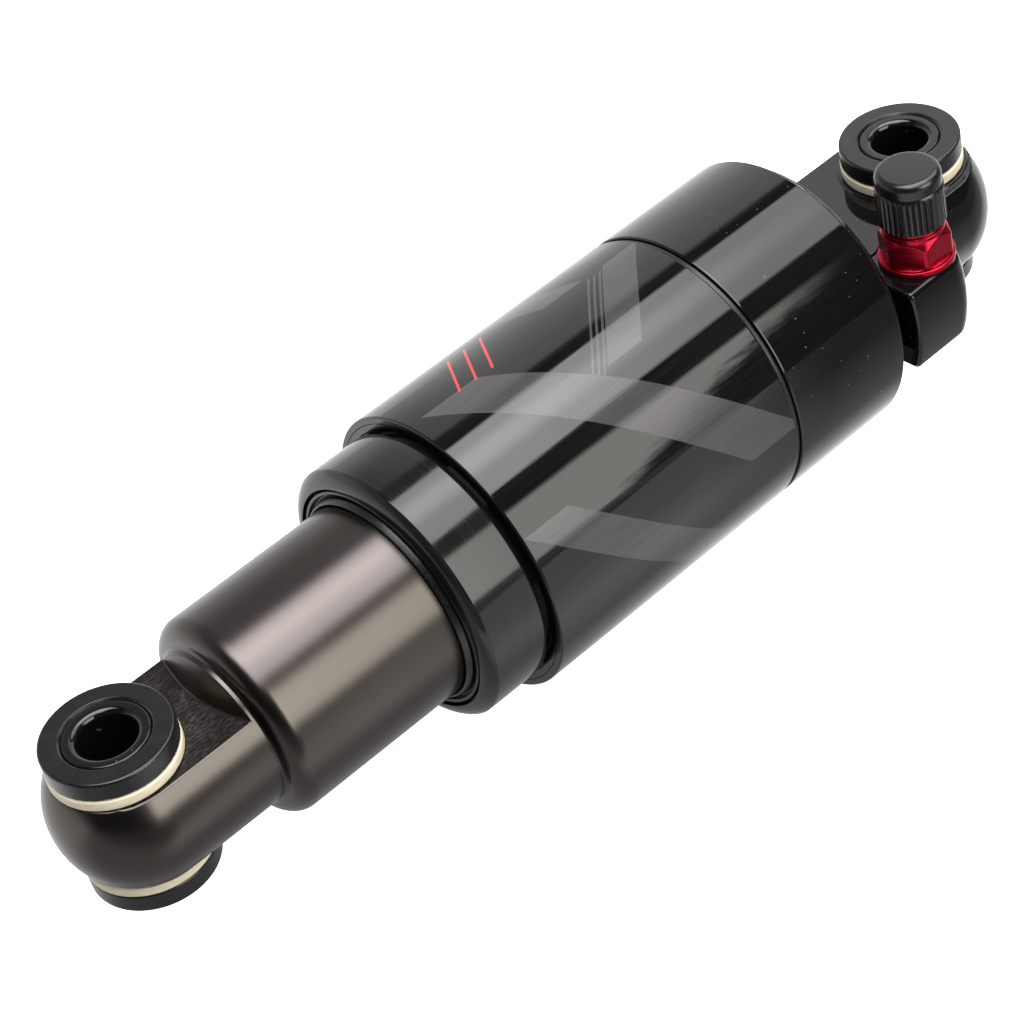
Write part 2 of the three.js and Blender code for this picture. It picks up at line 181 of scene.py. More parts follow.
def arc(centre, radii, first, last, steps=24):
    """Arc of an ellipse in the outline's plane, between two angles in degrees."""
    angles = [math.radians(first + (last - first) * k / steps) for k in range(steps + 1)]
    return [(centre[0] + radii[0] * math.cos(a), centre[1] + radii[1] * math.sin(a)) for a in angles]


def turned(name, outline, axis=X, centre=(0, 0), facets=FINE, ripple=None):
    """Solid of revolution about X, or about Z through centre.

    ripple(along, angle) is added to the radius. An outline that starts off the axis closes on itself.
    """
    bm = bmesh.new()
    rings = []
    for along, radius in outline:
        if radius < 1e-6:
            rings.append([bm.verts.new(place(along, 0, 0, axis, centre))])
            continue
        ring = []
        for k in range(facets):
            angle = 2 * math.pi * k / facets
            r = radius + (ripple(along, angle) if ripple else 0)
            ring.append(bm.verts.new(place(along, r, angle, axis, centre)))
        rings.append(ring)
    closed = len(rings[0]) > 1
    pairs = list(zip(rings, rings[1:])) + ([(rings[-1], rings[0])] if closed else [])
    for a, b in pairs:
        for k in range(facets):
            n = (k + 1) % facets
            corners = [a[k % len(a)], a[n % len(a)], b[n % len(b)], b[k % len(b)]]
            face = list(dict.fromkeys(corners))
            if len(face) > 2:
                bm.faces.new(face)
    return to_object(name, bm)


def place(along, radius, angle, axis, centre):
    """The point at this radius and angle round X, or round Z through centre, in metres."""
    across, up = radius * math.cos(angle), radius * math.sin(angle)
    if axis == X:
        return Vector((along, across, up)) * MM
    return Vector((centre[0] + across, centre[1] + up, along)) * MM


def cylinder(radius, first, last, centre):
    """Upright cylinder for the booleans."""
    return turned("tool", [(first, 0), (first, radius), (last, radius), (last, 0)], Z, centre, MEDIUM)


def prism(name, plan, first, last):
    """Outline in the XY plane, pushed out along Z."""
    bm = bmesh.new()
    lower, upper = ([bm.verts.new(Vector((x, y, z)) * MM) for x, y in plan] for z in (first, last))
    bm.faces.new(lower)
    bm.faces.new(upper)
    for i in range(len(plan)):
        j = (i + 1) % len(plan)
        bm.faces.new([lower[i], lower[j], upper[j], upper[i]])
    return to_object(name, bm)


def loft(name, sections):
    """Skin over closed sections of equal point count, given in mm; the two end sections are capped."""
    bm = bmesh.new()
    rings = [[bm.verts.new(Vector(point) * MM) for point in section] for section in sections]
    for a, b in zip(rings, rings[1:]):
        for k in range(len(a)):
            n = (k + 1) % len(a)
            bm.faces.new([a[k], a[n], b[n], b[k]])
    bm.faces.new(rings[0])
    bm.faces.new(rings[-1])
    return to_object(name, bm)


def apply_modifiers(obj):
    """The object's mesh as its modifiers leave it, with no modifier left."""
    depsgraph = bpy.context.evaluated_depsgraph_get()
    mesh = bpy.data.meshes.new_from_object(obj.evaluated_get(depsgraph))
    obj.modifiers.clear()
    obj.data = mesh
    return obj


def combine(obj, tool, operation):
    """Boolean of obj with the tool, which is used up."""
    mod = obj.modifiers.new("combine", "BOOLEAN")
    mod.operation = operation
    mod.solver = "EXACT"
    mod.object = tool
    apply_modifiers(obj)
    bpy.data.objects.remove(tool)
    return obj


def cut(obj, tool):
    return combine(obj, tool, "DIFFERENCE")


def join(obj, tool):
    return combine(obj, tool, "UNION")


SLIVER = 0.12       # edges up to this long are slivers that the booleans leave


def soften(obj, width, segments=3, angle=30):
    """Rounds the edges that are sharper than the angle, after slivers left by the booleans are welded."""
    weld = obj.modifiers.new("weld", "WELD")
    weld.merge_threshold = SLIVER * MM
    bevel = obj.modifiers.new("bevel", "BEVEL")
    bevel.width = width * MM
    bevel.segments = segments
    bevel.limit_method = "ANGLE"
    bevel.angle_limit = math.radians(angle)
    bevel.use_clamp_overlap = False
    return apply_modifiers(obj)


def smooth(obj):
    """Smooth shading, with creases of more than 36 degrees kept sharp."""
    for polygon in obj.data.polygons:
        polygon.use_smooth = True
    obj.data.set_sharp_from_angle(angle=math.radians(36))
    normals = obj.modifiers.new("normals", "WEIGHTED_NORMAL")
    normals.keep_sharp = True
    normals.weight = 80
    return apply_modifiers(obj)


def hand_over(obj, body, slot, material, *nodes):
    """Sets the piece's material and body, and hides the CAD nodes that it stands for. The slot is not used.
    """
    smooth(obj)
    obj.data.materials.clear()
    obj.data.materials.append(material)
    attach(obj, body)
    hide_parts(*nodes)
    return obj


# ------------------------------------------------------------ material tools

class Nodes:
    """A material's node tree, with short calls for the nodes that the materials share."""

    def __init__(self, name):
        self.material = bpy.data.materials.new(name)
        self.material.use_nodes = True
        self.tree = self.material.node_tree
        self.shader = self.tree.nodes["Principled BSDF"]
        self.place = self.add("ShaderNodeTexCoord").outputs["Object"]

    def add(self, kind, **settings):
        node = self.tree.nodes.new(kind)
        for key, value in settings.items():
            setattr(node, key, value)
        return node

    def link(self, source, target):
        """Feeds the target socket from another socket, or sets it to a number."""
        if isinstance(source, (int, float)):
            target.default_value = source
        else:
            self.tree.links.new(source, target)

    def math(self, operation, *values):
        node = self.add("ShaderNodeMath", operation=operation)
        for value, socket in zip(values, node.inputs):
            self.link(value, socket)
        return node.outputs[0]

    def stretched(self, scale):
        """The place, scaled along each axis."""
        node = self.add("ShaderNodeVectorMath", operation="MULTIPLY")
        self.link(self.place, node.inputs[0])
        node.inputs[1].default_value = scale
        return node.outputs[0]

    def noise(self, scale, detail=4, roughness=0.6):
        """Noise whose grain along each axis has the given number of waves per metre."""
        node = self.add("ShaderNodeTexNoise")
        self.link(self.stretched(scale), node.inputs["Vector"])
        node.inputs["Scale"].default_value = 1
        node.inputs["Detail"].default_value = detail
        node.inputs["Roughness"].default_value = roughness
        return node.outputs["Fac"]

    def around_x(self):
        """Place unrolled from a cylinder about X: the distance along it in metres, and the angle."""
        split = self.add("ShaderNodeSeparateXYZ")
        self.link(self.place, split.inputs[0])
        angle = self.math("ARCTAN2", split.outputs["Y"], split.outputs["Z"])
        return split.outputs["X"], angle

    def remap(self, value, in_low, in_high, out_low, out_high):
        """The value moved from one range to another, and kept inside it."""
        node = self.add("ShaderNodeMapRange")
        self.link(value, node.inputs["Value"])
        limits = {"From Min": in_low, "From Max": in_high, "To Min": out_low, "To Max": out_high}
        for key, number in limits.items():
            node.inputs[key].default_value = number
        return node.outputs["Result"]

    def mix(self, factor, first, second):
        """Colour between first and second."""
        node = self.add("ShaderNodeMix", data_type="RGBA")
        self.link(factor, node.inputs["Factor"])
        for value, socket in ((first, node.inputs[6]), (second, node.inputs[7])):
            if isinstance(value, tuple):
                socket.default_value = (*value, 1)
            else:
                self.link(value, socket)
        return node.outputs[2]

    def bump(self, height, strength, distance=0.02):
        """Bumps the shader's normal by the height; distance is in mm."""
        node = self.add("ShaderNodeBump")
        self.link(height, node.inputs["Height"])
        node.inputs["Strength"].default_value = strength
        node.inputs["Distance"].default_value = distance * MM
        self.link(node.outputs["Normal"], self.shader.inputs["Normal"])

    def set(self, **values):
        """Links or sets the shader's sockets, named with _ for a space."""
        for key, value in values.items():
            socket = self.shader.inputs[key.replace("_", " ")]
            if isinstance(value, tuple):
                socket.default_value = (*value, 1)
            else:
                self.link(value, socket)


def gloss_black():
    """Polished black anodising: faint drawn streaks along the shock and a few fine specks."""
    n = Nodes("gloss_black")
    streaks = n.noise((60, 2500, 2500))
    mottle = n.noise((90, 90, 90), 2)
    specks = n.math("GREATER_THAN", n.noise((1900, 1900, 1900), 1, 0.3), 0.79)
    colour = n.mix(n.remap(streaks, 0.3, 0.7, 0, 1), (0.0022, 0.0022, 0.0026), (0.005, 0.0047, 0.0054))
    n.set(Base_Color=n.mix(n.math("MULTIPLY", specks, 0.5), colour, (0.16, 0.16, 0.17)), Metallic=0.0)
    plain = n.remap(streaks, 0.3, 0.7, 0.025, 0.055)
    n.set(Roughness=n.math("ADD", plain, n.remap(mottle, 0.3, 0.7, 0, 0.025)), IOR=1.5)
    n.bump(streaks, 0.15)
    return n.material


def satin_black():
    """Black anodised turned metal: fine lathe rings and a slightly rubbed look."""
    n = Nodes("satin_black")
    rings = n.noise((5200, 120, 120), 5)
    mottle = n.noise((160, 160, 160), 3)
    n.set(Base_Color=n.mix(n.remap(rings, 0.35, 0.65, 0, 1), (0.006, 0.006, 0.0065), (0.011, 0.0105, 0.011)))
    n.set(Metallic=0.0, IOR=1.46)
    plain = n.remap(rings, 0.3, 0.7, 0.06, 0.11)
    n.set(Roughness=n.math("ADD", plain, n.remap(mottle, 0.3, 0.7, 0, 0.04)))
    n.bump(rings, 0.04)
    return n.material


def gunmetal():
    """Gunmetal anodised shaft: satin, turned rings round X, soft brown and grey drift."""
    n = Nodes("gunmetal")
    rings = n.noise((6500, 220, 220), 4, 0.6)
    drift = n.noise((22, 22, 22), 2)
    base = n.mix(n.remap(drift, 0.35, 0.65, 0, 1), (0.073, 0.065, 0.06), (0.084, 0.076, 0.071))
    n.set(Base_Color=n.mix(n.remap(rings, 0.3, 0.7, 0, 0.16), base, (0.115, 0.104, 0.097)))
    n.set(Metallic=1.0)
    n.set(Roughness=n.remap(rings, 0.3, 0.7, 0.25, 0.27))
    n.bump(rings, 0.014)
    return n.material


def milled_gunmetal():
    """The shaft eyelet's milled flats: dark, with the straight marks of the cutter across them."""
    n = Nodes("milled_gunmetal")
    marks = n.noise((900, 4200, 400), 4, 0.75)
    fine = n.noise((2600, 9000, 900), 2)
    drift = n.noise((150, 150, 150), 3)
    scratched = n.math("MULTIPLY", n.remap(marks, 0.45, 0.66, 0, 1), n.remap(drift, 0.35, 0.6, 0.25, 1))
    n.set(Base_Color=n.mix(scratched, (0.026, 0.023, 0.021), (0.16, 0.145, 0.132)))
    n.set(Metallic=1.0, Roughness=n.remap(drift, 0.3, 0.7, 0.3, 0.46))
    n.bump(n.math("ADD", marks, n.math("MULTIPLY", fine, 0.5)), 0.5, 0.05)
    return n.material


def spacer_black():
    """Hard anodised black spacer: fine grain, with soft patches worn a little lighter."""
    n = Nodes("spacer_black")
    grain = n.noise((2600, 2600, 2600), 3)
    wear = n.noise((420, 420, 420), 4)
    worn = n.remap(wear, 0.45, 0.75, 0, 0.6)
    n.set(Base_Color=n.mix(worn, (0.0035, 0.0035, 0.0045), (0.011, 0.011, 0.013)))
    n.set(Roughness=n.remap(grain, 0.3, 0.7, 0.24, 0.29), IOR=1.5)
    n.bump(grain, 0.012)
    return n.material


def cream_plastic():
    """Cream washer: mottled, with a fine matt grain."""
    n = Nodes("cream_plastic")
    mottle = n.noise((300, 300, 900), 4)
    grain = n.noise((2400, 2400, 2400), 2)
    n.set(Base_Color=n.mix(n.remap(mottle, 0.3, 0.7, 0, 1), (0.66, 0.59, 0.42), (0.78, 0.72, 0.56)))
    n.set(Roughness=n.remap(grain, 0.3, 0.7, 0.42, 0.55))
    n.bump(grain, 0.08)
    return n.material


def red_anodised():
    """Red anodised valve nut, turned about the valve."""
    n = Nodes("red_anodised")
    rings = n.noise((200, 200, 5200), 4)
    n.set(Base_Color=n.mix(n.remap(rings, 0.3, 0.7, 0, 1), (0.33, 0.003, 0.018), (0.42, 0.008, 0.03)))
    n.set(Metallic=0.85, Roughness=n.remap(rings, 0.3, 0.7, 0.18, 0.28))
    n.bump(rings, 0.08)
    return n.material


def cap_plastic():
    """Glossy black moulded cap with a fine grain."""
    n = Nodes("cap_plastic")
    grain = n.noise((3200, 3200, 3200), 3)
    n.set(Base_Color=n.mix(n.remap(grain, 0.4, 0.6, 0, 1), (0.0045, 0.0045, 0.005), (0.009, 0.009, 0.0095)))
    n.set(Roughness=n.remap(grain, 0.3, 0.7, 0.19, 0.26))
    n.bump(grain, 0.025)
    return n.material


def rubber():
    """Black rubber, a little shiny."""
    n = Nodes("rubber")
    grain = n.noise((2800, 2800, 2800), 4)
    n.set(Base_Color=n.mix(n.remap(grain, 0.4, 0.6, 0, 1), (0.003, 0.003, 0.003), (0.006, 0.006, 0.006)))
    n.set(Roughness=n.remap(grain, 0.3, 0.7, 0.24, 0.36))
    n.bump(grain, 0.05)
    return n.material


def metal(name, dark, light, roughness, grain_scale):
    """Bare machined metal of the inner pieces: lathe rings between two tones."""
    n = Nodes(name)
    rings = n.noise(grain_scale, 5)
    n.set(Base_Color=n.mix(n.remap(rings, 0.3, 0.7, 0, 1), dark, light), Metallic=1.0)
    n.set(Roughness=n.remap(rings, 0.3, 0.7, roughness - 0.05, roughness + 0.05))
    n.bump(rings, 0.1)
    return n.material


def moulded(name, dark, light, roughness):
    """Moulded plastic of the inner pieces: grain between two tones."""
    n = Nodes(name)
    grain = n.noise((1200, 1200, 1200), 4)
    n.set(Base_Color=n.mix(n.remap(grain, 0.3, 0.7, 0, 1), dark, light))
    n.set(Roughness=n.remap(grain, 0.3, 0.7, roughness - 0.06, roughness + 0.06))
    n.bump(grain, 0.1, 0.03)
    return n.material


# ------------------------------------------------------------ the sleeve's printed graphics

def inside(n, along, angle, corners):
    """1 inside a convex polygon given anticlockwise by (mm along X, degrees round it), else 0."""
    mask = 1.0
    for (x0, a0), (x1, a1) in zip(corners, corners[1:] + corners[:1]):
        nx, na = -(a1 - a0), (x1 - x0)
        across = n.math("MULTIPLY", n.math("SUBTRACT", along, x0 * MM), nx / MM)
        turn = n.math("MULTIPLY", n.math("SUBTRACT", angle, math.radians(a0)), na * 180 / math.pi)
        mask = n.math("MULTIPLY", mask, n.math("GREATER_THAN", n.math("ADD", across, turn), 0.0))
    return mask


def band(x0, x1, a0, a1, lean=0.0):
    """Four-sided patch between two X places and two angles, its far side shifted along X by lean."""
    return [(x0, a0), (x1, a0), (x1 + lean, a1), (x0 + lean, a1)]


SEAM_ANGLE = -60     # angles run on from here, all round, for the shapes below
BRUSHED_SHAPES = [
    band(82.0, 92.0, -4, 88, -35.0),
    band(70.5, 78.0, -46, -14, -12.0),
    band(48.0, 54.5, -14, 26, 14.0),
    band(58.0, 63.0, -50, -26, -9.0),
    band(86.0, 94.0, 56, 128, -30.0),
    band(50.0, 56.0, 150, 262, 36.0),
    band(74.0, 78.0, 150, 196, 14.0),
    band(46.5, 52.5, 214, 286, 30.0),
] + [band(x, x + 0.45, -12, 28, 14.0) for x in (55.5, 56.6, 57.7)]
RED_DASHES = [band(x, x + 0.42, -27, -3, 5.0) for x in (74.0, 77.0, 80.0)]


def sleeve_black():
    """Gloss black sleeve with brushed grey bands under the clear coat and three thin red strokes."""
    n = Nodes("sleeve_black")
    along, angle = n.around_x()
    past_seam = n.math("LESS_THAN", angle, math.radians(SEAM_ANGLE))
    turned_on = n.math("ADD", angle, n.math("MULTIPLY", past_seam, 2 * math.pi))
    brushed = 0.0
    for corners in BRUSHED_SHAPES:
        brushed = n.math("MAXIMUM", brushed, inside(n, along, turned_on, corners))
    red = 0.0
    for corners in RED_DASHES:
        red = n.math("MAXIMUM", red, inside(n, along, turned_on, corners))
    streaks = n.noise((60, 2500, 2500))
    brushing = n.noise((60, 5200, 5200), 5, 0.75)
    black = n.mix(n.remap(streaks, 0.3, 0.7, 0, 1), (0.0025, 0.0025, 0.003), (0.007, 0.0066, 0.0076))
    grey = n.mix(n.remap(brushing, 0.3, 0.7, 0, 1), (0.036, 0.035, 0.036), (0.062, 0.061, 0.063))
    colour = n.mix(red, n.mix(brushed, black, grey), (0.5, 0.03, 0.03))
    n.set(Base_Color=colour, Metallic=0.0, IOR=1.5)
    plain = n.remap(streaks, 0.3, 0.7, 0.025, 0.055)
    n.set(Roughness=n.math("ADD", plain, n.math("MULTIPLY", brushed, 0.08)))
    n.bump(n.math("ADD", streaks, n.math("MULTIPLY", brushing, brushed)), 0.15)
    return n.material


# ------------------------------------------------------------ turned pieces of the can

def air_can(material):
    """Bare rear half of the can, and the wall that runs on under the sleeve."""
    lip, under_sleeve, chamfer = SEAM_REAR - 0.05, SLEEVE_BORE_R - 0.1, 1.0
    outline = rounded([
        (CAN_REAR, CAN_BORE_R), (CAN_FRONT, CAN_BORE_R), (CAN_FRONT, under_sleeve),
        (lip, under_sleeve), (lip, CAN_R - 0.05, 0.35), (lip - 0.3, CAN_R, 0.2),
        (CAN_REAR + chamfer, CAN_R, 0.5), (CAN_REAR, CAN_R - 1.1 * chamfer, 0.4),
    ])
    return hand_over(turned("can_shell", outline), "shock_body", "black_gloss", material, "air_can")


def outer_sleeve(material):
    edge = 0.3
    outline = rounded([
        (SLEEVE_REAR, SLEEVE_BORE_R), (CAN_FRONT, SLEEVE_BORE_R),
        (CAN_FRONT, CAN_R, edge), (SLEEVE_REAR, CAN_R, edge),
    ])
    shell = turned("sleeve_shell", outline)
    return hand_over(shell, "shock_body", "black_graphic", material, "outer_sleeve")


def seam_ring(material):
    first, last = SEAM_REAR, high("sleeve_seam_ring", X)
    top, edge = CAN_R - SEAM_DEPTH, 0.2
    outline = rounded([
        (first, SLEEVE_BORE_R), (last, SLEEVE_BORE_R), (last, top, edge), (first, top, edge),
    ])
    return hand_over(turned("seam_ring", outline), "shock_body", "rubber", material, "sleeve_seam_ring")


def seal_head(material):
    """Collar with a rounded front, the neck behind it and the grooves for guide bush, seal and O-ring."""
    bore, inner, neck_r = TUBE_R + 0.3, CAN_BORE_R - 0.2, 18.6
    bush, seal, ring, pocket = (91, 94.2), (96.6, 99.4), (91.2, 92.6), 101.6
    bush_r, ring_r, front_r = 16.8, 18.4, 2.82
    front_centre = (COLLAR_FRONT - 2.86, COLLAR_R - 2.44)
    outline = rounded([
        (SEAL_HEAD_REAR, bore), (bush[0], bore), (bush[0], bush_r), (bush[1], bush_r), (bush[1], bore),
        (seal[0], bore), (seal[0], WIPER_POCKET_R), (seal[1], WIPER_POCKET_R), (seal[1], bore),
        (pocket, bore), (pocket, WIPER_POCKET_R), (COLLAR_FRONT - 0.15, WIPER_POCKET_R),
        (COLLAR_FRONT - 0.05, WIPER_POCKET_R + 0.05), *arc(front_centre, (front_r, front_r), 3, 60, 10),
        (COLLAR_REAR, COLLAR_R, 0.45), (COLLAR_REAR, neck_r, 0.3), (CAN_FRONT - 0.4, neck_r),
        (CAN_FRONT - 0.4, inner), (ring[1], inner), (ring[1], ring_r), (ring[0], ring_r),
        (ring[0], inner), (SEAL_HEAD_REAR, inner),
    ])
    collar = turned("seal_head_collar", outline)
    return hand_over(collar, "shock_body", "black_satin", material, "seal_head")


def dust_wiper(material):
    """Wiper with a lip on the tube, a groove behind the lip and a low outer ring."""
    first, last = low("dust_wiper", X), high("dust_wiper", X)
    relief, groove, ring_top, outside = TUBE_R + 0.5, last - 1.7, last - 0.85, 17.3
    outline = rounded([
        (first, relief), (last - 1.6, relief, 0.3), (last - 0.3, TUBE_R + 0.12, 0.1),
        (last, TUBE_R + 0.45, 0.15), (last - 0.9, 16.15, 0.3), (groove, 16.2, 0.2), (groove, 16.55, 0.2),
        (ring_top, 16.65, 0.25), (ring_top, 17.15, 0.25), (last - 1.6, outside, 0.2), (first, outside),
    ])
    return hand_over(turned("dust_wiper_lip", outline), "shock_body", "rubber", material, "dust_wiper")


# ------------------------------------------------------------ eyelet bodies

def shoulder_cone(rim_x, rim_r, back_x):
    """Cone about X that an eyelet's flats end at: its leaning face crosses the neck at rim_x."""
    lean = math.copysign(WALL_LEAN, rim_x - back_x)
    reach = rim_r + 12
    face = [(rim_x + lean * (rim_r - reach), reach), (rim_x + lean * rim_r, 0)]
    return turned("shoulder", [(back_x, 0), (back_x, reach)] + face)


def mill_flats(obj, centre_x, flat, shoulder_at):
    """Cuts the flats on both sides of an eyelet, up to its shoulder."""
    half, depth = 30, 20
    plan = [(centre_x + x * half, y * half) for x, y in SQUARE]
    for side in (1, -1):
        slab = prism("slab", plan, *sorted((side * flat, side * (flat + depth))))
        cut(obj, cut(slab, shoulder_cone(*shoulder_at)))
    return obj


def body_end(material):
    """End cap: eyelet with milled flats, flared neck, valve block, and the boss that holds the rod."""
    spigot_r, boss_r, rod_r, rod_end = 19.8, 9, 5.1, 36
    mouth = CAN_REAR - 0.1
    outline = (
        [(BODY_EYE_X - NOSE, 0)]
        + arc((BODY_EYE_X, 0), (NOSE, BODY_NECK_R), 176, 90)
        + [(10, BODY_NECK_R)]
        + arc((FLARE_X, FLANGE_R), (FLANGE_X - FLARE_X, FLANGE_R - BODY_NECK_R), -90, 0, 14)
        + rounded([
            (FLANGE_X, FLANGE_R + 0.2), (FLANGE_X, 20.4, 0.3), (mouth, 20.5), (mouth, spigot_r),
            (CAN_WALL_X, spigot_r), (CAN_WALL_X, boss_r), (ROD_BOSS_X, boss_r), (ROD_BOSS_X, rod_r),
            (rod_end, rod_r),
        ])
        + [(rod_end, 0)]
    )
    shoulder_at = (BODY_WALL_X, BODY_NECK_R, CAN_REAR + 20)
    obj = mill_flats(turned("body_end_casting", outline), BODY_EYE_X, BODY_FLAT, shoulder_at)
    eye, valve = (BODY_EYE_X, 0), (VALVE_X, VALVE_Y)
    join(obj, cylinder(BODY_SEAT_R, -EYE_HALF, EYE_HALF, eye))
    join(obj, valve_block())
    cut(obj, cylinder(EYE_BORE_R, -EYE_CUT, EYE_CUT, eye))
    cut(obj, cylinder(VALVE_RECESS_R, BLOCK_Z[1], EYE_CUT, valve))
    cut(obj, cylinder(VALVE_HOLE_R, VALVE_HOLE_END, EYE_CUT, valve))
    soften(obj, 0.2)
    return hand_over(obj, "shock_body", "black_gloss", material, "body_end")


def valve_block():
    """Block that carries the valve: round like the can outside, its rear corner and edges rounded off."""
    (x0, x1), (z0, z1) = BLOCK_X, BLOCK_Z
    corner, edge, front, inner = 3.4, 1.0, 0.5, 8.0

    def drop(depth, radius):
        """How far a fillet of this radius lies below the face, at this depth from the block's end."""
        return radius - math.sqrt(max(0, radius ** 2 - (radius - min(depth, radius)) ** 2))

    def section(x):
        outer = BLOCK_R - drop(x - x0, corner) - drop(x1 - x, front)
        level = drop(x - x0, edge) + drop(x1 - x, front)
        bottom, top = z0 + level, z1 - level
        levels = [bottom * (1 - t) + top * t for t in (0, 0.2, 0.4, 0.6, 0.8, 1)]
        barrel = [(math.sqrt(outer ** 2 - z ** 2), z) for z in levels]
        ends = [(*barrel[0], edge), *barrel[1:-1], (*barrel[-1], edge)]
        plan = rounded([(inner, bottom), *ends, (inner, top)])
        return [(x, y, z) for y, z in plan]

    rear = [x0 + corner * (1 - math.cos(math.radians(a))) for a in range(0, 91, 6)]
    nose = [x1 - front * (1 - math.cos(math.radians(a))) for a in range(90, -1, -15)]
    return loft("block", [section(x) for x in rear + nose])


def shaft(material, flats_material):
    """Sliding tube with its shoulder, neck and eyelet, whose milled flats have a material of their own."""
    eye = SHAFT_EYE_X
    outline = (
        [(TUBE_BORE_END, 0), (TUBE_BORE_END, TUBE_BORE_R), (TUBE_REAR, TUBE_BORE_R), (TUBE_REAR, TUBE_R)]
        + arc((SHOULDER_X, TUBE_R - SHOULDER_ROUND), (SHOULDER_ROUND, SHOULDER_ROUND), 90, 4, 16)
        + [(SHAFT_NECK_X, SHAFT_NECK_R)]
        + arc((eye, 0), (NOSE, SHAFT_NECK_R), 90, 3)
        + [(eye + NOSE, 0)]
    )
    shoulder_at = (SHAFT_WALL_X, SHAFT_NECK_R, TUBE_REAR)
    obj = mill_flats(turned("shaft_body_tube", outline), eye, EYE_HALF, shoulder_at)
    cut(obj, cylinder(EYE_BORE_R, -EYE_CUT, EYE_CUT, (eye, 0)))
    hole = [(-16, 0), (-16, CHARGE_HOLE_R), (-6.2, CHARGE_HOLE_R), (-6.2, 0)]
    drill = turned("tool", hole, Z, (0, 0), MEDIUM // 2)
    aside = Matrix.Rotation(math.radians(-90), 4, "X")
    drill.data.transform(Matrix.Translation((CHARGE_HOLE_X * MM, 0, 0)) @ aside)
    cut(obj, drill)
    soften(obj, 0.2)
    hand_over(obj, "shaft_body", "gunmetal", material, "shaft")
    obj.data.materials.append(flats_material)
    for face in obj.data.polygons:
        on_flat = abs(abs(face.center.z) - EYE_HALF * MM) < 0.02 * MM and abs(face.normal.z) > 0.999
        if on_flat and face.center.x > SHOULDER_X * MM:
            face.material_index = 1
    return obj


# ------------------------------------------------------------ mounting hardware

def flipped(outline):
    """The same outline on the other side of the eyelet."""
    return [(-along, radius) for along, radius in outline]


def hardware(end, body, eye_x, looks):
    """Two spacers, two washers and the axle tube of one eyelet."""
    at, chamfer = (eye_x, 0), 0.3
    bore, washer_bore, washer_edge = SPACER_BORE_R, SPACER_BORE_R + 0.1, 0.35
    spacer = rounded([
        (SPACER_LOW, bore), (HALF_WIDTH - chamfer, bore), (HALF_WIDTH, bore + chamfer, 0.15),
        (HALF_WIDTH, SPACER_R, 0.4), (SPACER_LOW, SPACER_R, 0.3),
    ])
    washer = rounded([
        (WASHER_LOW, washer_bore), (WASHER_HIGH, washer_bore),
        (WASHER_HIGH, WASHER_R, washer_edge), (WASHER_LOW, WASHER_R, washer_edge),
    ])
    mouth, rim = 1.3, 0.3
    tube = rounded([
        (-AXLE_HALF, BOLT_R, mouth), (AXLE_HALF, BOLT_R, mouth),
        (AXLE_HALF, AXLE_R, rim), (-AXLE_HALF, AXLE_R, rim),
    ], 8)
    for side, turn in (("upper", list), ("lower", flipped)):
        disc = turned(f"{end}_spacer_disc_{side}", turn(spacer), Z, at)
        hand_over(disc, body, "black_satin", looks["spacer"], f"{end}_spacer_{side}")
        ring = turned(f"{end}_washer_ring_{side}", turn(washer), Z, at)
        hand_over(ring, body, "cream_plastic", looks["cream"], f"{end}_washer_{side}")
    sleeve = turned(f"{end}_axle_sleeve", tube, Z, at, MEDIUM)
    hand_over(sleeve, body, "black_gloss", looks["gloss"], f"{end}_axle_tube")


# ------------------------------------------------------------ air valve

def valve_nut(material):
    """Red valve body: thin flange, chamfered hexagon, two small steps and the stem inside the cap."""
    base, foot = BLOCK_Z[1] + 0.05, -1
    hex_low, hex_high, apothem = base + 1.1, base + 5.2, 4.7
    corner_r = apothem / math.cos(math.pi / 6) - 0.12
    bore_r, stem_r, plug_r, flange_r = 2.3, 3.3, 4.2, 5.6
    stem_top, step, upper_step = base + 13, base + 6.6, base + 5.95
    groove, groove_r = (1.8, 3.6), 3.4
    facets, rows = 24 * 6, 28

    def hexagon(along, angle):
        """What the hexagon adds to its apothem, with its corners turned down by a cone at each end."""
        if not hex_low - 0.01 < along < hex_high + 0.01:
            return 0
        across = apothem / math.cos((angle % (math.pi / 3)) - math.pi / 6)
        cone = min(4.6 + (hex_high - along) * 0.8, 5.0 + (along - hex_low) * 1.7)
        return min(across, corner_r, cone) - apothem

    stem = rounded([
        (foot, plug_r), (foot, bore_r), (stem_top, bore_r), (stem_top, stem_r, 0.3),
        (step, stem_r), (step, 4.1, 0.2), (upper_step, 4.1, 0.15), (upper_step - 0.05, 4.5, 0.2),
        (hex_high + 0.1, 4.5, 0.1),
    ])
    flats = [(hex_high + (hex_low - hex_high) * k / rows, apothem) for k in range(rows + 1)]
    flange = rounded([
        (hex_low - 0.1, 4.9, 0.1), (base + 0.9, 5.0, 0.1), (base + 0.9, flange_r, 0.2),
        (base, flange_r, 0.2), (base, plug_r), (groove[1], plug_r), (groove[1], groove_r),
        (groove[0], groove_r), (groove[0], plug_r),
    ])
    obj = turned("valve_nut", stem + flats + flange, Z, (VALVE_X, VALVE_Y), facets, hexagon)
    return hand_over(obj, "shock_body", "red_anodised", material, "valve_base")


